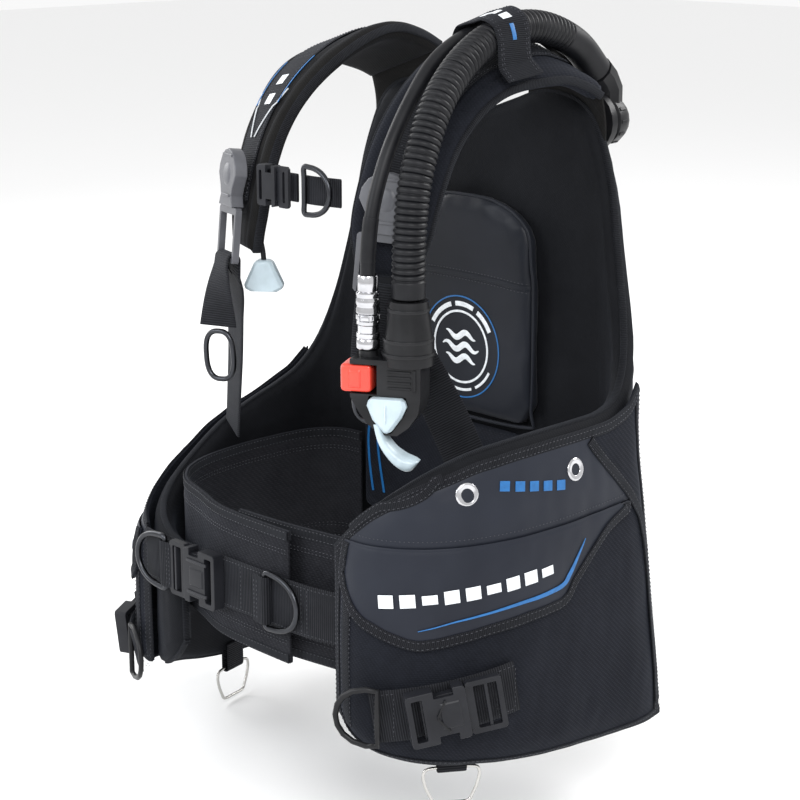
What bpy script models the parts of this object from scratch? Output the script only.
"""Jacket-style buoyancy compensator vest, modelled as an assembly of named pieces.

Frame: +X is the wearer's left, +Y points out of the wearer's back, +Z is up.  The origin is the
centre of the hard back plate's rear face, where the tank is strapped on.  Units are metres.
"""
import math

import bmesh
import bpy
import numpy as np
from mathutils import Matrix, Vector

# ------------------------------------------------------------------ driving dimensions (metres)
GAP = 0.0004              # clearance between touching pieces
CELL_T = 0.022            # inflated thickness of the air cell
CELL_MID_Y = -0.0315      # middle plane of the air cell behind the wearer
PLATE_W, PLATE_H, PLATE_T = 0.152, 0.262, 0.0175
PLATE_TOP = 0.150
PAD_FRONT_Y = -0.060      # front face of the back pad
PAD_W, PAD_TOP, PAD_LOW = 0.172, 0.187, -0.030
LUMBAR_TOP, LUMBAR_LOW = -0.036, -0.162
BELT_TOP, BELT_LOW = -0.074, -0.196     # padded waist band
STRAP_T = 0.018           # thickness of a shoulder pad
WEB_T = 0.0024            # webbing thickness
WEB_50, WEB_40, WEB_25 = 0.048, 0.038, 0.025
HOSE_R = 0.0142           # corrugated hose, outer radius
LP_R = 0.0062             # low pressure hose, outer radius
INFLATOR = Vector((0.1430, -0.2755, 0.0))   # axis of the inflator's upper collar
POCKET_WALL = 0.0030
FLAP_T = 0.0030

# ------------------------------------------------------------------ scene and materials
for ob in list(bpy.data.objects):
    bpy.data.objects.remove(ob, do_unlink=True)

PARTS = bpy.data.collections.new("buoyancy_vest")
CUTTERS = bpy.data.collections.new("cutters")
bpy.context.scene.collection.children.link(PARTS)
bpy.context.scene.collection.children.link(CUTTERS)


def material(name, rgb, rough, metal=0.0):
    m = bpy.data.materials.new(name)
    m.use_nodes = True
    b = m.node_tree.nodes["Principled BSDF"]
    b.inputs["Base Color"].default_value = (*rgb, 1.0)
    b.inputs["Roughness"].default_value = rough
    b.inputs["Metallic"].default_value = metal
    return m


CORDURA = material("cordura", (0.013, 0.015, 0.021), 0.85)
COATED = material("coated_nylon", (0.026, 0.031, 0.043), 0.5)
LINING = material("lining", (0.011, 0.011, 0.011), 0.9)
WEB = material("webbing", (0.022, 0.025, 0.034), 0.8)
PLASTIC = material("black_plastic", (0.020, 0.021, 0.024), 0.42)
GREY = material("grey_plastic", (0.16, 0.16, 0.18), 0.45)
BUCKLE = material("buckle_plastic", (0.040, 0.042, 0.048), 0.4)
PALE = material("pale_plastic", (0.50, 0.60, 0.65), 0.4)
RED = material("red_plastic", (0.75, 0.045, 0.03), 0.4)
RUBBER = material("rubber", (0.017, 0.018, 0.022), 0.5)
CHROME = material("chrome", (0.75, 0.75, 0.76), 0.12, 1.0)
STEEL = material("stainless", (0.55, 0.53, 0.50), 0.22, 1.0)
ANODISED = material("anodised", (0.075, 0.078, 0.084), 0.38, 0.8)

SQUARE = {}


# ------------------------------------------------------------------ geometry helpers
def along(ctrl, n, closed=False):
    """n points at equal arc length on a smooth curve through the control points."""
    P = np.array([tuple(c) for c in ctrl], float)
    Q = np.vstack([P[-1:], P, P[:2]]) if closed else np.vstack([2 * P[0] - P[1], P, 2 * P[-1] - P[-2]])
    fine = []
    for i in range(1, len(Q) - 2):
        p0, p1, p2, p3 = Q[i - 1:i + 3]
        for t in np.linspace(0.0, 1.0, 24, endpoint=False):
            fine.append(0.5 * (2 * p1 + (p2 - p0) * t + (2 * p0 - 5 * p1 + 4 * p2 - p3) * t * t
                               + (3 * p1 - p0 - 3 * p2 + p3) * t ** 3))
    fine.append(Q[-2])
    fine = np.array(fine)
    d = np.concatenate([[0.0], np.cumsum(np.linalg.norm(np.diff(fine, axis=0), axis=1))])
    s = np.linspace(0.0, d[-1], n + (1 if closed else 0))
    out = np.stack([np.interp(s, d, fine[:, k]) for k in range(fine.shape[1])], 1)
    return out[:-1] if closed else out


def offset_outline(path, dist):
    """Offset a plan path (x, y) sideways by dist; positive is to the right of travel."""
    P = np.array(path, float)
    T = np.gradient(P, axis=0)
    T /= np.linalg.norm(T, axis=1)[:, None]
    N = np.stack([T[:, 1], -T[:, 0]], 1)
    return P + N * np.reshape(dist, (-1, 1))


def place(ob, mat, smooth=35.0):
    PARTS.objects.link(ob)
    ob.data.materials.clear()
    ob.data.materials.append(mat)
    if ob.type == "MESH":
        ob.data.shade_smooth()
        ob.data.set_sharp_from_angle(angle=math.radians(smooth))
    return ob


def mesh_object(name, bm):
    me = bpy.data.meshes.new(name)
    bm.to_mesh(me)
    bm.free()
    return bpy.data.objects.new(name, me)


def sheet(name, rows, thick, mat, offset=0.0):
    """Open surface through a grid of points (rows[i][j]), thickened with Solidify."""
    R = np.array(rows, float)
    nu, nv = R.shape[:2]
    bm = bmesh.new()
    bmesh.ops.create_grid(bm, x_segments=nu - 1, y_segments=nv - 1, size=1.0)
    for v in bm.verts:
        i = int(round((v.co.x + 1.0) / 2.0 * (nu - 1)))
        j = int(round((v.co.y + 1.0) / 2.0 * (nv - 1)))
        v.co = Vector(R[i, j])
    ob = place(mesh_object(name, bm), mat)
    m = ob.modifiers.new("thickness", "SOLIDIFY")
    m.thickness = thick
    m.offset = offset
    m.use_even_offset = True
    return ob


def ribbon(name, pts, lateral, width, thick, mat, taper=None):
    """Flat band along pts, spread by width along the lateral direction(s)."""
    P = np.array(pts, float)
    L = np.array([tuple(l) for l in lateral], float) if np.ndim(lateral) > 1 else np.tile(np.array(tuple(lateral), float), (len(P), 1))
    L /= np.linalg.norm(L, axis=1)[:, None]
    W = np.full(len(P), width) if np.isscalar(width) else np.array(width, float)
    rows = np.stack([P - L * W[:, None] / 2, P + L * W[:, None] / 2], 1)
    ob = sheet(name, rows, thick, mat)
    ob.modifiers["thickness"].use_even_offset = False
    return ob


def tube(name, pts, radius, mat, closed=False, res=2):
    cu = bpy.data.curves.new(name, "CURVE")
    cu.dimensions = "3D"
    cu.bevel_depth = radius
    cu.bevel_resolution = res
    cu.use_fill_caps = True
    sp = cu.splines.new("POLY")
    sp.points.add(len(pts) - 1)
    for k, p in enumerate(pts):
        sp.points[k].co = (*[float(c) for c in p], 1.0)
    sp.use_cyclic_u = closed
    ob = bpy.data.objects.new(name, cu)
    return place(ob, mat)


def as_mesh(ob, mat):
    """Replace a curve object by the welded mesh of its evaluated shape."""
    bpy.context.view_layer.update()
    dg = bpy.context.evaluated_depsgraph_get()
    me = bpy.data.meshes.new_from_object(ob.evaluated_get(dg))
    bm = bmesh.new()
    bm.from_mesh(me)
    bmesh.ops.remove_doubles(bm, verts=bm.verts, dist=1e-6)
    bmesh.ops.recalc_face_normals(bm, faces=bm.faces)
    bm.to_mesh(me)
    bm.free()
    name, mw = ob.name, ob.matrix_world.copy()
    bpy.data.objects.remove(ob, do_unlink=True)
    new = bpy.data.objects.new(name, me)
    new.matrix_world = mw
    return place(new, mat)


def plate(name, outline, thick, frame, mat, holes=()):
    """Flat piece: 2D outline in the frame's XY plane, extruded half a thickness each way."""
    cu = bpy.data.curves.new(name, "CURVE")
    cu.dimensions = "2D"
    cu.fill_mode = "BOTH"
    cu.extrude = thick / 2
    for loop in (outline, *holes):
        sp = cu.splines.new("POLY")
        sp.points.add(len(loop) - 1)
        for k, p in enumerate(loop):
            sp.points[k].co = (float(p[0]), float(p[1]), 0.0, 1.0)
        sp.use_cyclic_u = True
    ob = bpy.data.objects.new(name, cu)
    ob.matrix_world = frame
    PARTS.objects.link(ob)
    return as_mesh(ob, mat)


def turned(name, profile, frame, mat, steps=20, closed=False):
    """Profile (radius, height), outer side from top to bottom, spun about the frame's Z axis."""
    bm = bmesh.new()
    vs = [bm.verts.new((r, 0.0, z)) for r, z in profile]
    for a, b in zip(vs, vs[1:]):
        bm.edges.new((a, b))
    if closed:
        bm.edges.new((vs[-1], vs[0]))
    ob = place(mesh_object(name, bm), mat)
    ob.matrix_world = frame
    m = ob.modifiers.new("spin", "SCREW")
    m.axis = "Z"
    m.angle = math.tau
    m.steps = m.render_steps = steps
    m.use_merge_vertices = True
    m.merge_threshold = 1e-5
    m.use_smooth_shade = True
    return ob


def block(name, size, frame, mat=None):
    """Box of a given size, centred on the frame; without a material it is a cutter."""
    bm = bmesh.new()
    bmesh.ops.create_cube(bm, size=1.0)
    for v in bm.verts:
        v.co = Vector((v.co.x * size[0], v.co.y * size[1], v.co.z * size[2]))
    ob = mesh_object(name, bm)
    ob.matrix_world = frame
    if mat:
        return place(ob, mat)
    CUTTERS.objects.link(ob)
    return hide(ob)


def hide(ob):
    ob.hide_render = True
    ob.display_type = "WIRE"
    return ob


def to_cutter(ob):
    PARTS.objects.unlink(ob)
    CUTTERS.objects.link(ob)
    return hide(ob)


def boolean(ob, other, op="DIFFERENCE"):
    m = ob.modifiers.new(op.lower(), "BOOLEAN")
    m.operation = op
    m.solver = "EXACT"
    m.object = other
    return ob


def bevel(ob, width, segments=1, angle=40.0):
    m = ob.modifiers.new("rounding", "BEVEL")
    m.width = width
    m.segments = segments
    m.limit_method = "ANGLE"
    m.angle_limit = math.radians(angle)
    m.harden_normals = False
    return ob


def axes_at(centre, x, n):
    """Frame with X along x, Z along n (made square to x) and Y = Z cross X."""
    x = Vector(x).normalized()
    z = Vector(n)
    z = (z - x * z.dot(x)).normalized()
    y = z.cross(x)
    m = Matrix((x, y, z)).transposed().to_4x4()
    m.translation = Vector(centre)
    return m


def rounded(x0, x1, y0, y1, r, n=3):
    """Rectangle with rounded corners as a list of points."""
    out = []
    for cx, cy, a in ((x1 - r, y1 - r, 0), (x0 + r, y1 - r, 90), (x0 + r, y0 + r, 180), (x1 - r, y0 + r, 270)):
        for k in range(n + 1):
            t = math.radians(a + 90 * k / n)
            out.append((cx + r * math.cos(t), cy + r * math.sin(t)))
    return out


def moved_origin(ob, point):
    """Put the object's origin on its joint axis without moving its mesh."""
    shift = Vector(point) - ob.matrix_world.translation
    local = ob.matrix_world.to_3x3().inverted() @ shift
    if ob.type == "MESH":
        ob.data.transform(Matrix.Translation(-local))
    else:
        for sp in ob.data.splines:
            for p in sp.points:
                p.co = (p.co.x - local.x, p.co.y - local.y, p.co.z - local.z, 1.0)
    ob.matrix_world = Matrix.Translation(shift) @ ob.matrix_world
    return ob


# ------------------------------------------------------------------ back plate, pads
def build_back():
    # hard tank plate: rear face at Y = 0, grip hole at the top, two slots for the tank band
    fr = axes_at((0, -PLATE_T / 2, 0), (1, 0, 0), (0, -1, 0))     # local Y runs up
    hw, top, low = PLATE_W / 2, PLATE_TOP, PLATE_TOP - PLATE_H
    half = [(0.045, top), (0.062, top - 0.008), (0.072, top - 0.030), (hw, 0.070), (hw, low + 0.030), (0.066, low + 0.008), (0.050, low)]
    outline = half + [(-x, z) for x, z in half[::-1]]
    grip = rounded(-0.044, 0.044, top - 0.042, top - 0.014, 0.012)
    slots = [rounded(x - 0.004, x + 0.004, -0.030, 0.030, 0.002, 2) for x in (-0.062, 0.062)]
    p = plate("backplate", outline, PLATE_T, fr, PLASTIC, holes=[grip, *slots])
    bevel(p, 0.0015, 1, 60)

    # back pad with a rounded top
    w = PAD_W / 2
    half = [(w - 0.012, PAD_LOW), (w, PAD_LOW + 0.02), (w, 0.100), (w - 0.003, 0.125)]
    half += [(0.082 * math.cos(t), 0.132 + (PAD_TOP - 0.132) * math.sin(t) ** 0.65) for t in np.radians((12, 26, 42, 58, 74))]
    th = 0.0165
    fr = axes_at((0, PAD_FRONT_Y + th / 2, 0), (1, 0, 0), (0, -1, 0))
    ob = plate("back_pad", half + [(-x, z) for x, z in half[::-1]], th, fr, COATED)
    bevel(ob, 0.004, 1, 50)

    # lumbar pad, wrapping a little forward at its ends
    rows = []
    for x in np.linspace(-0.134, 0.134, 13):
        bow = 0.012 * (abs(x) / 0.134) ** 3
        hh = 0.5 * (LUMBAR_TOP - LUMBAR_LOW) * (1.0 - 0.22 * (abs(x) / 0.134) ** 6)
        zc = 0.5 * (LUMBAR_TOP + LUMBAR_LOW)
        rows.append([(x, -0.0525 - bow, z) for z in np.linspace(zc - hh, zc + hh, 4)])
    sheet("lumbar_pad", rows, 0.0150, CORDURA)


# ------------------------------------------------------------------ air cell
# stations of the left half from the spine to the front edge: x, y, top z, bottom z
CELL = [
    (0.000, -0.0315, 0.262, -0.205), (0.035, -0.0315, 0.272, -0.205), (0.070, -0.0315, 0.284, -0.205),
    (0.100, -0.0320, 0.283, -0.205), (0.120, -0.0325, 0.276, -0.208), (0.134, -0.0335, 0.262, -0.213),
    (0.146, -0.0345, 0.236, -0.220), (0.156, -0.0360, 0.205, -0.229), (0.164, -0.0385, 0.168, -0.240),
    (0.173, -0.0425, 0.132, -0.252), (0.185, -0.0500, 0.094, -0.264), (0.198, -0.0640, 0.058, -0.274),
    (0.208, -0.0860, 0.034, -0.276), (0.2135, -0.1150, 0.025, -0.274), (0.2155, -0.1500, 0.024, -0.271),
    (0.2140, -0.1900, 0.023, -0.267), (0.2085, -0.2300, 0.020, -0.262), (0.1985, -0.2620, 0.014, -0.258),
    (0.1840, -0.2870, 0.002, -0.255), (0.1660, -0.3030, -0.013, -0.251), (0.1460, -0.3125, -0.030, -0.244),
    (0.1290, -0.3165, -0.047, -0.233), (0.1150, -0.3180, -0.066, -0.216)]
# the right lobe hangs slack: how far its top and bottom edges drop at the same stations
SLACK_TOP = [0, 0, 0, 0, 0, 0, 0, 0, 0.004, 0.012, 0.026, 0.038, 0.044, 0.050, 0.060, 0.074, 0.092, 0.102, 0.104,
             0.098, 0.088, 0.076, 0.060]
SLACK_LOW = [0, 0, 0, 0, 0, 0, 0, 0, 0, 0.002, 0.006, 0.012, 0.018, 0.024, 0.028, 0.030, 0.028, 0.022, 0.016, 0.012,
             0.008, 0.006, 0.006]
RIGHT_PULL = 0.955        # the waist strap draws the right lobe inwards by this factor in X


def drawn_in(x, y):
    """X of a plan position on the right lobe, drawn inwards towards its front."""
    f = min(1.0, max(0.0, (-y - 0.04) / 0.10))
    return x * (1.0 - (1.0 - RIGHT_PULL) * f)


def flare(x, y, z):
    """The skirt swings outwards at its rear corner towards the bottom edge."""
    w = math.exp(-((x - 0.205) ** 2 + (y + 0.055) ** 2) / 0.055 ** 2)
    k = w * 0.030 * min(1.0, max(0.0, -z / 0.27))
    return x + k * 0.62, y + k * 0.9, z


RING_LEFT = Vector((0.1920, -0.2720, -0.2640))     # where the lower rings hinge
RING_RIGHT = Vector((-0.1960, -0.1920, -0.3080))


def build_cell():
    rows = []
    stations = [(-x, y, t - a, b - c) for (x, y, t, b), a, c in list(zip(CELL, SLACK_TOP, SLACK_LOW))[:0:-1]] + list(CELL)
    for x, y, top, low in stations:
        col = []
        for z in np.linspace(low, top, 7):
            fx, fy, fz = flare(abs(x), y, z)
            col.append((-drawn_in(fx, fy) if x < 0 else fx, fy, fz))
        rows.append(col)
    ob = sheet("air_cell", rows, CELL_T, LINING)
    # two sewn webbing tabs that carry the lower rings
    for tag, c, x in (("l", RING_LEFT, (0.56, 0.83, 0)), ("r", RING_RIGHT, (-0.20, 0.98, 0))):
        x = Vector(x).normalized()
        n = Vector((0, 0, 1)).cross(x)
        tab = block("tab_" + tag, (0.026, 0.0085, 0.026), axes_at(c + Vector((0, 0, 0.0090)), x, n) @ Matrix.Rotation(math.radians(90), 4, "X"))
        boolean(ob, tab, "UNION")
        hole = turned("tab_hole_" + tag, [(0, 0.02), (0.0027, 0.02), (0.0027, -0.02), (0, -0.02)],
                      axes_at(c, n, x), LINING, steps=10)
        boolean(ob, to_cutter(hole))
    return ob


# ------------------------------------------------------------------ padded waist band and its strap
def belt_path(front):
    half = [(0.137, -0.0668), (0.158, -0.0690), (0.176, -0.0800), (0.189, -0.1020), (0.1955, -0.1300), (0.1975, -0.1600),
            (0.1955, -0.1950), (0.1885, -0.2330), (0.1740, -0.2630), (0.1560, -0.2820), (0.1350, -0.2950)]
    return half + front


def build_belt():
    left = along(belt_path([(0.112, -0.3010), (0.070, -0.3075), (0.030, -0.3130), (-0.005, -0.3150), (-0.030, -0.3155)]), 28)
    right = along(belt_path([(0.112, -0.3025), (0.095, -0.3080), (0.070, -0.3170), (0.045, -0.3228), (0.010, -0.3255), (-0.030, -0.3262), (-0.050, -0.3262)]), 30)
    right[:, 0] = [drawn_in(x, y) for x, y in right]
    for name, P, sx in (("cummerbund_left", left, 1), ("cummerbund_right", right, -1)):
        rows = [[(sx * p[0], p[1], z) for z in (BELT_LOW, 0.5 * (BELT_LOW + BELT_TOP), BELT_TOP)] for p in P]
        sheet(name, rows, 0.0042, CORDURA)


# ------------------------------------------------------------------ side release buckles
def buckle(prefix, frame, width, l_socket, l_plug, thick, mat_s, mat_p, rounded_nose=False, depth=None):
    """Socket on the frame's +X side, plug on its -X side; the plug pulls out along -X."""
    hw = width / 2
    if rounded_nose:      # oval shell
        out = [(GAP, -hw * 0.80), (0.010, -hw * 0.62), (0.018, -hw * 0.74)]
        for k in range(9):
            t = -math.pi / 2 + math.pi * k / 8
            out.append((l_socket - hw * 0.98 + hw * 0.98 * math.cos(t), hw * math.sin(t)))
        out += [(0.018, hw * 0.74), (0.010, hw * 0.62), (GAP, hw * 0.80)]
        holes = []
        depth, cav_w = 0.026, hw * 0.56
    else:
        out = rounded(GAP, l_socket, -hw, hw, 0.003, 2)
        slot = 0.009 if l_socket > 0.030 else 0.0036
        holes = [rounded(l_socket - slot - 0.0045 + 0.0015 * (slot < 0.005), l_socket - 0.0030 - 0.0015 * (slot > 0.005), -hw + 0.005, hw - 0.005, 0.001, 1)]
        depth, cav_w = depth or l_socket - 0.019, hw - 0.0045
    s = plate(prefix + "_socket", out, thick, frame, mat_s, holes=holes)
    cav = block(prefix + "_cavity", (depth + 0.002, 2 * cav_w, thick - 0.0050),
                frame @ Matrix.Translation((depth / 2 - 0.001, 0, 0)))
    boolean(s, cav)
    if not rounded_nose:
        for sy in (-1, 1):
            boolean(s, block(prefix + "_window%d" % sy, (depth * 0.52, 0.016, thick + 0.002),
                             frame @ Matrix.Translation((depth * 0.60, sy * (hw + 0.0015), 0))))
    # plug: slotted frame, two spring arms and a guide tongue, all inside the socket's mouth
    a1 = cav_w - 0.0007
    a0 = a1 - min(0.0055, cav_w * 0.42)
    tip, g = depth - 0.003, 0.0
    tg = min(0.0035, cav_w * 0.25)
    out = [(-l_plug, -hw), (-l_plug, hw)][::1]
    out = [(-l_plug + 0.002, -hw), (-0.002, -hw), (g, -hw + 0.002), (g, -a1), (tip * 0.55, -a1), (tip - 0.006, -a1), (tip, -a1 + 0.0025),
           (tip - 0.001, -a0 - 0.0008), (g + 0.0045, -a0), (g + 0.003, -tg), (tip * 0.72, -tg), (tip * 0.72, tg), (g + 0.003, tg),
           (g + 0.0045, a0), (tip - 0.001, a0 + 0.0008), (tip, a1 - 0.0025), (tip - 0.006, a1), (tip * 0.55, a1), (g, a1),
           (g, hw - 0.002), (-0.002, hw), (-l_plug + 0.002, hw), (-l_plug, hw - 0.002), (-l_plug, -hw + 0.002)]
    slots = [rounded(-l_plug + 0.0045, -0.0065, -hw + 0.0045, hw - 0.0045, 0.001, 1)]
    plate(prefix + "_plug", out, thick - 0.0060, frame, mat_p, holes=slots)


def d_ring(name, frame, height, depth, r, mat, n_arc=9):
    """D-shaped ring: straight bar along local Y through the origin, bow towards +X."""
    h = height / 2 - r
    pts = [(0, -h * 0.96, 0), (0, 0, 0), (0, h * 0.96, 0)]
    for k in range(n_arc):
        t = math.pi / 2 - math.pi * (k + 0.4) / (n_arc - 0.2)
        pts.append((0.003 + (depth - r) * max(0.0, math.cos(t)) ** 0.8, h * math.sin(t) * 1.0, 0))
    world = [frame @ Vector(p) for p in pts]
    ob = tube(name, world, r, mat, closed=True)
    return moved_origin(ob, frame.translation)


def oval_ring(name, frame, width, height, r, mat, n=14, power=0.75):
    """Closed ring hanging along local -Y from a top bar at the origin."""
    pts = []
    for k in range(n):
        t = math.tau * (k + 0.5) / n
        c, s = math.cos(t), math.sin(t)
        x = (width / 2 - r) * math.copysign(abs(c) ** power, c)
        y = (height / 2 - r) * math.copysign(abs(s) ** power, s)
        pts.append((x, y - (height / 2 - r), 0))
    ob = tube(name, [frame @ Vector(p) for p in pts], r, mat, closed=True)
    return moved_origin(ob, frame.translation)


WAIST_Y = -0.3306          # middle of the waist webbing in front of the band


def build_waist():
    z = -0.1400
    up = (0, 0, 1)
    # right half: leaves the lobe's front edge and ends under the buckle's plug
    right = along([(-0.148, -0.3300, z), (-0.130, -0.3322, z), (-0.112, WAIST_Y - 0.0010, z), (-0.092, WAIST_Y, z), (-0.078, WAIST_Y, z)], 7)
    ribbon("waist_strap_right", right, up, WEB_50, WEB_T, WEB)
    left = along([(-0.066, WAIST_Y, z), (-0.020, WAIST_Y, z), (0.020, WAIST_Y, z), (0.056, WAIST_Y, z), (0.080, WAIST_Y + 0.002, z), (0.106, WAIST_Y + 0.007, z)], 9)
    ribbon("waist_strap_left", left, up, WEB_50, WEB_T, WEB)
    fr = axes_at((-0.078, WAIST_Y - WEB_T / 2 - GAP - 0.0062, z), (1, 0, 0), (0, -1, 0))
    buckle("waist_buckle", fr, 0.052, 0.044, 0.023, 0.012, BUCKLE, BUCKLE)
    y = WAIST_Y - WEB_T / 2 - 0.0042
    d_ring("waist_d_ring_left", axes_at((0.027, y, z), (1, 0, 0), (0, -1, 0)), 0.056, 0.036, 0.0028, ANODISED)
    d_ring("waist_d_ring_right", axes_at((-0.112, y - 0.0024, z), (-1, 0, 0), (0, -1, 0)), 0.056, 0.036, 0.0028, ANODISED)


# ------------------------------------------------------------------ pockets
# plan path of the pocket's outer wall, front to rear (left side)
POCKET_PLAN = [(0.1190, -0.3480), (0.1450, -0.3455), (0.1680, -0.3370), (0.1900, -0.3220), (0.2100, -0.3000),
               (0.2260, -0.2730), (0.2370, -0.2400), (0.2425, -0.2000), (0.2435, -0.1600), (0.2415, -0.1200),
               (0.2360, -0.0900), (0.2260, -0.0640)]
SEAM = {1: (-0.060, -0.050), -1: (-0.128, -0.104)}     # height of the flap's fold seam, front and rear
FLAP_DROP = {1: 1.0, -1: 0.74}                         # flap length on each side, as a factor
MOUTH_Z = {1: -0.086, -1: -0.146}


def pocket_frame(sx):
    """Plan points, outward normals, top and bottom heights of the pocket on one side."""
    P = along(POCKET_PLAN, 19)
    T = np.gradient(P, axis=0)
    T /= np.linalg.norm(T, axis=1)[:, None]
    N = np.stack([T[:, 1], -T[:, 0]], 1)
    C = np.array(CELL)
    top, low, inner = [], [], []
    fine = along([c[:2] for c in CELL], 240)
    ftop = along([(c[2], 0.0) for c in CELL], 240)
    keys = np.concatenate([[0], np.cumsum(np.linalg.norm(np.diff(C[:, :2], axis=0), axis=1))])
    keys /= keys[-1]
    for p, n in zip(P, N):
        d = np.linalg.norm(fine - p, axis=1)
        i = int(np.argmin(d))
        s = i / 239.0
        drop = 0.0 if sx > 0 else float(np.interp(s, keys, SLACK_TOP))
        sink = 0.0 if sx > 0 else float(np.interp(s, keys, SLACK_LOW))
        top.append(float(np.interp(s, keys, C[:, 2])) - drop)
        low.append(float(np.interp(s, keys, C[:, 3])) - sink)
        inner.append(d[i] - CELL_T / 2)
    return P, N, np.array(top), np.array(low), np.array(inner)


def pocket_rows(sx):
    P, N, top, low, inner = pocket_frame(sx)
    if sx < 0:           # the slack right pocket starts further round the side
        keep = slice(3, None)
        P, N, top, low, inner = P[keep], N[keep], top[keep], low[keep], inner[keep]
    n = len(P)
    rows = []
    for i in range(n):
        edge = min(i, n - 1 - i)
        full = {0: 0.0, 1: 0.72}.get(edge, 1.0)
        room = inner[i] - POCKET_WALL / 2 - 0.0022          # how far the wall may sink towards the cell
        col = []
        zt, zl = top[i] - 0.004, low[i] + 0.004
        for k, f in ((0.0, 0.0), (0.035, 0.62), (0.12, 1.0), (0.32, 1.0), (0.52, 1.0), (0.68, 0.86), (0.84, 0.55), (1.0, 0.0)):
            depth = room * (1.0 - full * f)
            p = P[i] - N[i] * depth
            x, y, z = flare(p[0], p[1], zl + (zt - zl) * k)
            col.append((x if sx > 0 else -drawn_in(x, y), y, z))
        rows.append(col)
    return rows


def build_pocket(sx):
    side = "left" if sx > 0 else "right"
    rows = pocket_rows(sx)
    ob = sheet(side + "_pocket", rows, POCKET_WALL, CORDURA)
    # mouth under the flap
    boolean(ob, block(side + "_mouth", (0.060, 0.090, 0.026), Matrix.Translation((sx * 0.250, -0.190, MOUTH_Z[sx]))))
    return ob


def on_pocket(sx, i, z, lift):
    """Point a given distance outside the pocket's wall, on one of its rows, and the wall's normal there."""
    R = np.array(pocket_rows(sx))
    P, N, *_ = pocket_frame(sx)
    if sx < 0:
        N = N[3:]
    i0 = max(0, min(len(R) - 2, int(i)))
    f = i - i0
    pt, nn = np.zeros(3), np.zeros(2)
    for j, w in ((i0, 1 - f), (i0 + 1, f)):
        pt += w * np.array([np.interp(z, R[j, :, 2], R[j, :, k]) for k in (0, 1)] + [z])
        nn += w * N[j]
    n = np.array([sx * nn[0], nn[1]]) / np.linalg.norm(nn)
    return np.array([pt[0] + n[0] * lift, pt[1] + n[1] * lift, z]), n


def flap_rows(sx):
    """Rows of the flap: along the seam, then down to its curved lower edge."""
    n = len(pocket_rows(sx))
    z0, z1 = SEAM[sx]
    rows = []
    for i in range(1, n - 1):
        f = i / (n - 1)
        seam = z0 + (z1 - z0) * f
        drop = float(np.interp(f, [0, 0.05, 0.12, 0.22, 0.34, 0.50, 0.66, 0.72, 0.80, 0.88, 1.0],
                               [0.030, 0.058, 0.078, 0.088, 0.089, 0.083, 0.076, 0.064, 0.030, 0.014, 0.008]))
        lift = POCKET_WALL / 2 + FLAP_T / 2 + 0.0012
        rows.append([on_pocket(sx, i, z, lift)[0] for z in np.linspace(seam, seam - drop * FLAP_DROP[sx], 5)])
    return np.array(rows)


def build_flap(sx):
    side = "left" if sx > 0 else "right"
    rows = flap_rows(sx)
    ob = sheet(side + "_pocket_flap", rows, FLAP_T, COATED)
    pivot, axis = flap_axis(rows, sx)
    moved_origin(ob, pivot)
    return pivot, axis


def flap_axis(rows, sx):
    """Level line that touches the outside of the flap's curved top edge half way along it."""
    top = rows[:, 0, :]
    a, b = top[0], top[-1]
    d = (b - a) / np.linalg.norm(b - a)
    out = np.array([d[1], -d[0], 0.0]) * (1 if sx > 0 else -1)
    out /= np.linalg.norm(out)
    far = max(top, key=lambda p: float(np.dot(p - a, out)))
    return far + out * 0.004, d


def grommet(name, sx, i, z):
    """Rolled eyelet seated on the pocket's upper panel."""
    lo, _ = on_pocket(sx, i, z - 0.010, 0.0)
    hi, _ = on_pocket(sx, i, z + 0.010, 0.0)
    mid, n2 = on_pocket(sx, i, z, 0.0)
    vertical = Vector(hi - lo).normalized()
    tang = Vector((-n2[1], n2[0], 0.0))
    n = tang.cross(vertical).normalized()
    if n.x * n2[0] + n.y * n2[1] < 0:
        n = -n
    fr = axes_at(Vector(mid) + n * (POCKET_WALL / 2 + 0.0014), tang, n)
    turned(name, [(0.0050, 0.0016), (0.0085, 0.0024), (0.0100, 0.0016), (0.0100, 0.0000), (0.0050, 0.0)], fr, CHROME, steps=18, closed=True)
    return fr


# ------------------------------------------------------------------ weight pocket straps
def build_weight(sx):
    side = "left" if sx > 0 else "right"
    zc = -0.194 if sx > 0 else -0.236
    # the strap hugs the pocket wall; it climbs a little towards the rear
    plan = []
    for i in (np.linspace(2.5, 8.6, 8) if sx > 0 else np.linspace(0.8, 7.0, 8)):
        z = zc + 0.0035 * (i - 5)
        plan.append(on_pocket(sx, i, z, POCKET_WALL / 2 + WEB_T / 2 + 0.0036)[0])
    pts = along(plan, 12)
    ribbon(side + "_weight_strap", pts, (0, 0, 1), WEB_50 - 0.004, WEB_T, WEB)
    k = 6
    mid = Vector(pts[k])
    d = Vector(pts[k + 2] - pts[k - 2]).normalized()
    n = Vector((0, 0, 1)).cross(d) * (-1 if sx > 0 else 1)
    n = Vector((n.x, n.y, 0)).normalized()
    # socket to the front, plug to the rear
    fr = axes_at(mid + n * 0.0098 + d * 0.010, -d, n)
    buckle(side + "_weight_buckle", fr, 0.047, 0.051, 0.031, 0.0125, BUCKLE, BUCKLE)
    # black D handle at the strap's front end
    e = Vector(pts[0])
    d0 = Vector(pts[0] - pts[1]).normalized()
    n0 = Vector((d0.y, -d0.x, 0)).normalized()
    if n0.dot(n) < 0:
        n0 = -n0
    ob = d_ring(side + "_weight_d_ring", axes_at(e + n0 * 0.0062 - d0 * 0.006, Vector((d0.x, d0.y, 0)), n0), 0.056, 0.036, 0.0026, PLASTIC)
    return fr, ob, d0, n0


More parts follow.
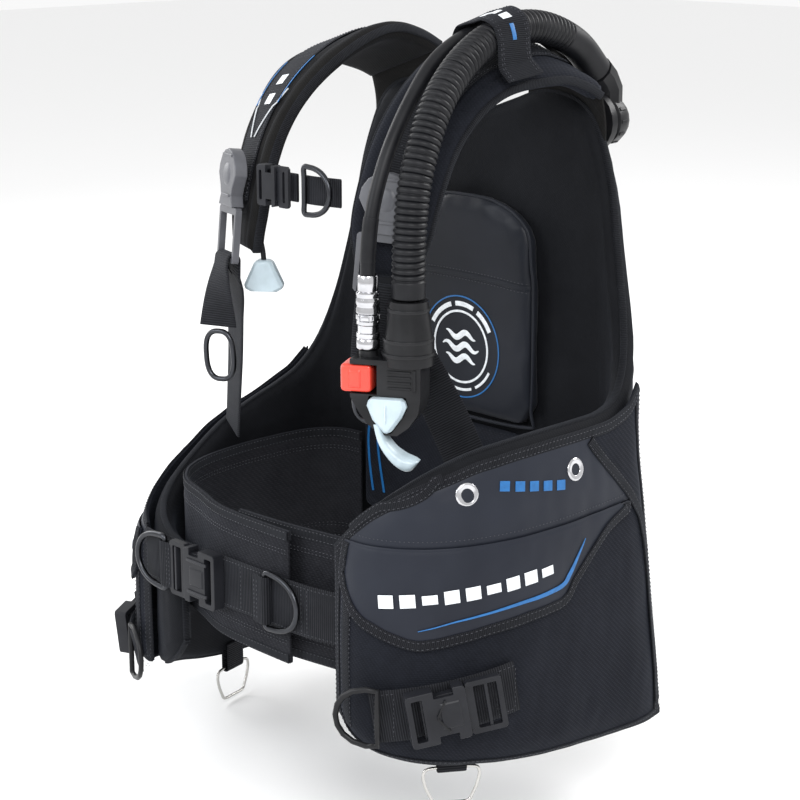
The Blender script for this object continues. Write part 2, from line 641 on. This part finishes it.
# ------------------------------------------------------------------ shoulders
SHOULDER = [(0.099, -0.0400, 0.3010), (0.100, -0.0640, 0.3122), (0.101, -0.1000, 0.3195), (0.101, -0.1450, 0.3100),
            (0.101, -0.1830, 0.2870), (0.101, -0.2120, 0.2520), (0.100, -0.2310, 0.2100), (0.099, -0.2400, 0.1720),
            (0.099, -0.2425, 0.1440)]
SHOULDER_W = [0.100, 0.102, 0.100, 0.092, 0.084, 0.078, 0.076, 0.074, 0.052]
LEFT_LEAN = (-0.010, -0.004)              # the hoses draw the left strap inwards at the chest
TOP_T = Vector((0.945, 0.0, -0.33))       # across the strap on top of the shoulder
CHEST_T = Vector((0.925, 0.38, 0.0))      # across the strap at the chest
CHEST_N = Vector((0.38, -0.925, 0.0))     # out of the strap at the chest


def shoulder_path(sx, n):
    P = along(SHOULDER, n)
    if sx > 0:
        for p in P:
            f = min(1.0, max(0.0, (-p[1] - 0.100) / 0.110))
            p[0] += LEFT_LEAN[0] * f
            p[1] += LEFT_LEAN[1] * f
    return P


def shoulder_rows(sx):
    n = 19
    P = shoulder_path(sx, n)
    W = np.interp(np.linspace(0, len(SHOULDER) - 1, n), range(len(SHOULDER)), SHOULDER_W)
    rows = []
    for i, (p, w) in enumerate(zip(P, W)):
        f = min(1.0, max(0.0, (p[1] + 0.100) / (-0.215 + 0.100)))
        f = f * f * (3 - 2 * f)
        t = TOP_T.lerp(CHEST_T, f).normalized()
        rows.append([(sx * (p[0] + t.x * a * w), p[1] + t.y * a * w, p[2] + t.z * a * w) for a in (-0.5, -0.25, 0.0, 0.25, 0.5)])
    return rows


def chest_frame(sx):
    """Frame of the shoulder buckle's mouth: X up the strap, Z out of it."""
    n = Vector((sx * CHEST_N.x, CHEST_N.y, 0))
    t = Vector((sx * CHEST_T.x, CHEST_T.y, 0))
    P = shoulder_path(sx, 60)
    i = int(np.argmin(np.abs(P[:, 2] - 0.180)))
    lo = int(np.argmin(np.abs(P[:, 2] - 0.150)))
    d = Vector(P[i] - P[lo])
    d = Vector((sx * d.x, d.y, d.z)).normalized()
    c = Vector((sx * P[i][0], P[i][1], P[i][2]))
    fr = axes_at(c, d, n)
    n = fr.to_3x3().col[2]
    return axes_at(c + n * (STRAP_T / 2 + 0.0105) + t * (0.002 if sx > 0 else -0.004), d, n)


SHOULDER_PLUG = 0.050


def build_shoulder(sx):
    side = "left" if sx > 0 else "right"
    sheet(side + "_shoulder_pad", shoulder_rows(sx), STRAP_T, CORDURA)
    fr = chest_frame(sx)
    buckle(side + "_shoulder_buckle", fr, 0.048, 0.052, SHOULDER_PLUG, 0.012, GREY, GREY, rounded_nose=True)
    return fr


TAIL_TWIST = {1: 0.0, -1: 42.0}            # degrees about the vertical


def build_lower_straps():
    # one webbing on each side: up from the lobe, round the buckle's lower bar, down as the pull tail
    for sx, side in ((1, "left"), (-1, "right")):
        fr = chest_frame(sx)
        bar = -SHOULDER_PLUG + 0.0023           # middle of the plug's lower bar, in the buckle's frame
        wrap = [fr @ Vector((bar + 0.0056 * math.sin(a), 0, -0.0056 * math.cos(a))) for a in np.radians((0, 36, 72, 108, 144, 180))]
        foot = [(0.1740, -0.2220, -0.0360), (0.1580, -0.2240, -0.0040), (0.1310, -0.2290, 0.0430), (0.1075, -0.2410, 0.0880)] if sx > 0 else \
               [(-0.1740, -0.2030, -0.0500), (-0.1650, -0.2080, -0.0150), (-0.1480, -0.2190, 0.0350), (-0.1240, -0.2380, 0.0880)]
        rise = along(foot + [tuple(fr @ Vector((bar - 0.012, 0, -0.0062)))], 10)
        tail = along([tuple(fr @ Vector((bar - 0.006, 0, 0.0060))), tuple(fr @ Vector((bar - 0.030, 0, 0.0068))), tuple(fr @ Vector((bar - 0.062, 0, 0.0050)))], 5)
        pts = [*rise, *wrap, *tail]
        t = fr.to_3x3().col[1]
        # the tail twists as it hangs
        turn = [0.0] * (len(pts) - 5) + [TAIL_TWIST[sx] * k for k in (0.0, 0.2, 0.5, 0.8, 1.0)]
        lat = [Matrix.Rotation(math.radians(a), 3, "Z") @ t for a in turn]
        ribbon(side + "_lower_strap", pts, [tuple(v) for v in lat], WEB_40, WEB_T, WEB)
        end = Vector(pts[-1])
        t = lat[-1]
        n = Vector((-t.y, t.x, 0))
        INFO[side + "_pull_ring"] = (end + Vector((0, 0, -0.0048)), t)
        oval_ring(side + "_pull_ring", axes_at(end + Vector((0, 0, -0.0048)), -t, n), 0.034, 0.050, 0.0026, ANODISED)


# ------------------------------------------------------------------ chest strap
STERNUM_Z = 0.212


def build_sternum():
    z = STERNUM_Z
    right = along([(-0.0600, -0.2500, z), (-0.048, -0.2600, z), (-0.034, -0.2665, z), (-0.012, -0.2680, z), (0.000, -0.2680, z)], 7)
    left = along([(0.006, -0.2680, z), (0.020, -0.2680, z), (0.034, -0.2660, z), (0.0490, -0.2630, z)], 5)
    ribbon("sternum_strap_right", right, (0, 0, 1), WEB_25, WEB_T, WEB)
    ribbon("sternum_strap_left", left, (0, 0, 1), WEB_25, WEB_T, WEB)
    fr = axes_at((-0.018, -0.2680 - WEB_T / 2 - GAP - 0.0048, z), (-1, 0, 0), (0, -1, 0))
    buckle("sternum_buckle", fr, 0.036, 0.024, 0.014, 0.0092, BUCKLE, BUCKLE, depth=0.0145)
    d_ring("sternum_d_ring", axes_at((0.0130, -0.2725, z), (1, 0, 0.0), (0, -1, 0)), 0.046, 0.028, 0.0025, ANODISED)


# ------------------------------------------------------------------ hoses and inflator
HOSE = [(0.1430, -0.2755, 0.1378), (0.1430, -0.2755, 0.1560), (0.1430, -0.2745, 0.1900), (0.1410, -0.2655, 0.2360), (0.1352, -0.2400, 0.2840),
        (0.1270, -0.2050, 0.3160), (0.1215, -0.1650, 0.3370), (0.1190, -0.1230, 0.3470), (0.1180, -0.0830, 0.3440),
        (0.1175, -0.0430, 0.3280), (0.1170, -0.0140, 0.3030)]
LP_U = 0.0345                              # distance of the quick coupling from the hose's axis
U = Vector((-0.86, -0.51, 0.0))            # across the inflator, towards the coupling
N_INF = Vector((0.51, -0.86, 0.0))         # out of the inflator's front
LP_TOP = INFLATOR + U * LP_U
LP = [(LP_TOP.x, LP_TOP.y, 0.1420), (LP_TOP.x, LP_TOP.y, 0.1720), (0.1145, -0.2885, 0.2100), (0.1140, -0.2715, 0.2530),
      (0.1085, -0.2400, 0.2930), (0.1020, -0.2050, 0.3230), (0.0970, -0.1650, 0.3400), (0.0945, -0.1230, 0.3480), (0.0935, -0.0830, 0.3430),
      (0.0910, -0.0460, 0.3270), (0.0885, -0.0190, 0.3090), (0.0868, -0.0055, 0.2800), (0.0872, -0.0045, 0.2500), (0.0885, -0.0045, 0.2100),
      (0.0895, -0.0045, 0.1500), (0.0895, -0.0045, 0.0940)]


def build_hoses():
    tube("corrugated_hose", along(HOSE, 24), HOSE_R, RUBBER, res=3)
    tube("lp_hose", along(LP, 44), LP_R, RUBBER, res=2)
    # threaded fitting at the free end
    end = Vector(LP[-1])
    turned("lp_hose_fitting", [(0, -GAP), (0.0080, -GAP), (0.0080, -0.012), (0.0100, -0.0125), (0.0100, -0.021), (0.0070, -0.0215), (0.0070, -0.030), (0, -0.030)],
           Matrix.Translation(end), CHROME, steps=14)
    # keeper band over both hoses
    y0 = -0.1470
    arch = [(0.0850, 0.3290), (0.0855, 0.3430), (0.0895, 0.3515), (0.0975, 0.3550), (0.1080, 0.3575), (0.1195, 0.3600),
            (0.1315, 0.3550), (0.1375, 0.3430), (0.1390, 0.3290), (0.1410, 0.3200), (0.1465, 0.3140), (0.1525, 0.3090)]
    pts = [(x, y0, z) for x, z in along(arch, 16)]
    ribbon("hose_keeper_band", pts, (0, 0.97, 0.243), 0.040, 0.0024, WEB)
    # shoulder elbow with the built-in dump valve
    c = Vector((0.1170, 0.0, 0.2580))
    back = axes_at(c, (1, 0, 0), (0, 1, 0))
    y0 = CELL_MID_Y + CELL_T / 2 + 0.0006
    e = turned("shoulder_elbow", [(0, 0.016), (0.010, 0.0155), (0.0190, 0.012), (0.0225, 0.005), (0.0225, -0.004), (0.0195, -0.006),
                                  (0.0195, -0.012), (0.0260, -0.0125), (0.0260, y0), (0, y0)], back, PLASTIC, steps=20)
    p0, p1 = Vector(HOSE[-1]), Vector(HOSE[-2])
    d = (p0 - p1).normalized()
    neck = tube("elbow_neck", [p0 + d * 0.0012, p0 + d * 0.010, Vector((0.117, 0.0, 0.286)), Vector((0.117, 0.0, 0.262))], 0.0155, PLASTIC, res=3)
    boolean(e, to_cutter(as_mesh(neck, PLASTIC)), "UNION")


def build_inflator():
    o = INFLATOR
    fr = axes_at(o, U, N_INF)         # local X towards the coupling, local Y down, local Z out
    flip = Matrix(((1, 0, 0, 0), (0, -1, 0, 0), (0, 0, 1, 0), (0, 0, 0, 1)))
    out = [(-0.014, 0.088), (-0.014, 0.056), (-0.012, 0.044), (-0.004, 0.032), (0.006, 0.0245), (0.020, 0.0245), (0.032, 0.034),
           (0.041, 0.047), (0.046, 0.056), (0.046, 0.088)]
    body = plate("inflator_body", [(x, -z) for x, z in out][::-1], 0.032, fr, PLASTIC)
    up = Matrix.Translation(o)
    collar = turned("inflator_collar", [(0, 0.1365), (0.0165, 0.1365), (0.0170, 0.130), (0.0205, 0.104), (0.0215, 0.102), (0.0215, 0.083), (0, 0.083)], up, PLASTIC, steps=20)
    boolean(body, to_cutter(collar), "UNION")
    nip = turned("inflator_nipple", [(0, 0.1405), (0.0056, 0.1405), (0.0056, 0.0935), (0.0080, 0.0930), (0.0080, 0.080), (0, 0.080)],
                 Matrix.Translation(LP_TOP), PLASTIC, steps=12)
    boolean(body, to_cutter(nip), "UNION")
    # seat of the inflate button, open to the end and the front
    seat = block("inflate_seat", (0.040, 0.0250, 0.0400), fr @ Matrix.Translation((0.0230 + 0.020, -0.0712, 0.0060)))
    boolean(body, seat)
    b = block("inflate_button", (0.0270, 0.0240, 0.0270), fr @ Matrix.Translation((0.0280 + 0.0135, -0.0712, 0.0020)), RED)
    bevel(b, 0.0035, 2)
    # deflate button: shield shape in a matching recess
    sh = [(-0.001, 0.0570), (0.029, 0.0570), (0.031, 0.0500), (0.026, 0.0380), (0.0160, 0.0270), (0.0110, 0.0270), (0.001, 0.0410), (-0.003, 0.0500)]
    c = np.mean(np.array(sh), axis=0)
    big = [tuple(c + (np.array(p) - c) * 1.05) for p in sh]
    rec = plate("deflate_recess", [(x, -z) for x, z in big][::-1], 0.020, fr @ Matrix.Translation((0, 0, 0.0175)), PALE)
    boolean(body, to_cutter(rec))
    k = plate("deflate_button", [(x, -z) for x, z in sh][::-1], 0.0090, fr @ Matrix.Translation((0, 0, 0.0170)), PALE)
    bevel(k, 0.0025, 1, 50)
    # chromed sliding sleeve of the quick coupling
    turned("lp_coupler_sleeve", [(0.0068, 0.1560), (0.0085, 0.1560), (0.0085, 0.1420), (0.0100, 0.1410), (0.0100, 0.1240), (0.0085, 0.1230),
                                 (0.0085, 0.1080), (0.0098, 0.1070), (0.0098, 0.0940), (0.0068, 0.0940)],
           Matrix.Translation(LP_TOP), CHROME, steps=16, closed=True)
    # oral mouthpiece: flared tube leaving the body's lower end
    ax = (Vector((0, 0, -1)) * 0.86 - U * 0.42 + N_INF * 0.28).normalized()
    m = axes_at(o + U * 0.0130 + Vector((0, 0, 0.0225)) + ax * 0.0070, U, -ax)
    turned("mouthpiece", [(0.0070, 0.000), (0.0105, 0.000), (0.0110, -0.010), (0.0145, -0.020), (0.0165, -0.0245), (0.0140, -0.0240),
                          (0.0120, -0.019), (0.0085, -0.010), (0.0080, -0.004), (0.0070, -0.003)], m, PALE, steps=16, closed=True)


# ------------------------------------------------------------------ right shoulder dump valve and its pull
def build_dump():
    c = Vector((-0.1170, 0.0, 0.2560))
    y0 = CELL_MID_Y + CELL_T / 2 + 0.0006
    turned("shoulder_dump_valve", [(0, 0.004), (0.014, 0.003), (0.0210, -0.001), (0.0230, -0.006), (0.0230, -0.012), (0.0260, -0.0125), (0.0260, y0), (0, y0)],
           axes_at(c, (1, 0, 0), (0, 1, 0)), PLASTIC, steps=20)
    t = Vector((0.76, 0.65, 0)).normalized()
    n = Vector((0.65, -0.76, 0)).normalized()
    f = axes_at((-0.0825, -0.2375, 0.1190), t, n)
    up = 1 if f.to_3x3().col[1].z > 0 else -1
    out = [(-0.0075, 0.0150), (0.0075, 0.0150), (0.0190, -0.0100), (0.0120, -0.0140), (-0.0120, -0.0140), (-0.0190, -0.0100)]
    out = [(x, up * y) for x, y in out]
    k = plate("dump_pull_knob", out, 0.0150, f, PALE)
    bevel(k, 0.0025, 1, 40)


# ------------------------------------------------------------------ tank band and its cam buckle
BAND_Z = 0.0


def build_tank_band():
    # the loop runs out of the plate's two slots and round behind it
    half = [(0.0620, -0.0160), (0.0620, -0.0080), (0.0620, 0.0010), (0.0635, 0.0120), (0.0658, 0.0280), (0.0630, 0.0470),
            (0.0500, 0.0660), (0.0270, 0.0780)]
    pts = along(half + [(0.0, 0.0815)] + [(-x, y) for x, y in half[::-1]], 35)
    P = [(x, y, BAND_Z) for x, y in pts]
    ribbon("tank_band", P, (0, 0, 1), WEB_50, WEB_T, WEB)
    # cam buckle on the band's rear left corner
    i = int(np.argmin([(p[0] - 0.044) ** 2 + (p[1] - 0.071) ** 2 for p in P]))
    c = Vector(P[i])
    d = Vector(P[i + 1]) - Vector(P[i - 1])
    d.normalize()
    n = Vector((d.y, -d.x, 0)).normalized()
    if n.dot(Vector((c.x, c.y - 0.03, 0))) < 0:
        n = -n
    c = Vector((0.0445, 0.0725, BAND_Z))
    base = axes_at(c + n * 0.0070, d, n)
    b = plate("cam_buckle", rounded(-0.032, 0.032, -0.030, 0.030, 0.005, 2), 0.0050, base, PLASTIC,
              holes=[rounded(-0.024, -0.014, -0.0255, 0.0255, 0.001, 1)])
    for sy in (-1, 1):
        ear = block("cam_ear%d" % sy, (0.018, 0.0040, 0.014), base @ Matrix.Translation((-0.004, sy * 0.0265, 0.0060)))
        boolean(b, ear, "UNION")
    pivot = base @ Vector((-0.004, 0, 0.0085))
    lv = plate("cam_lever", rounded(-0.008, 0.046, -0.0235, 0.0235, 0.006, 2), 0.0045, base @ Matrix.Translation((0, 0, 0.0085)), PLASTIC)
    moved_origin(lv, pivot)
    return pivot, d, n


# ------------------------------------------------------------------ lower rings
def build_lower_rings():
    for side, c, x in (("left", RING_LEFT, (0.56, 0.83, 0)), ("right", RING_RIGHT, (-0.20, 0.98, 0))):
        x = Vector(x).normalized()
        up = Vector((0, 0, 1))
        n = x.cross(up)          # local Y = up
        f = axes_at(c, x, n)
        w, h, r = 0.050, 0.033, 0.0016
        pts = [(-w / 2 + 0.010, 0), (0, 0), (w / 2 - 0.010, 0), (w / 2 - 0.002, -0.002), (w / 2, -0.008), (w / 2 - 0.002, -0.020), (w / 2 - 0.006, -h + 0.006),
               (w / 2 - 0.012, -h), (-w / 2 + 0.012, -h), (-w / 2 + 0.006, -h + 0.006), (-w / 2 + 0.002, -0.020), (-w / 2, -0.008), (-w / 2 + 0.002, -0.002)]
        s = 1 if f.to_3x3().col[1].z > 0 else -1
        ob = tube(side + "_lower_ring", [f @ Vector((px, s * py, 0)) for px, py in pts], r, STEEL, closed=True)
        moved_origin(ob, c)
        INFO[side + "_lower_ring"] = (c, x, n)


# ------------------------------------------------------------------ build everything
build_back()
build_cell()
build_belt()
build_waist()
INFO = {}
for sx in (1, -1):
    side = "left" if sx > 0 else "right"
    build_pocket(sx)
    INFO[side + "_flap"] = build_flap(sx)
    INFO[side + "_front_grommet"] = grommet(side + "_front_grommet", sx, *((6.5, -0.014) if sx > 0 else (6.5, -0.084)))
    INFO[side + "_rear_grommet"] = grommet(side + "_rear_grommet", sx, *((12.3, -0.010) if sx > 0 else (10.5, -0.070)))
    INFO[side + "_weight"] = build_weight(sx)
    INFO[side + "_shoulder"] = build_shoulder(sx)
build_lower_straps()
build_sternum()
build_hoses()
build_inflator()
build_dump()
INFO["cam"] = build_tank_band()
build_lower_rings()
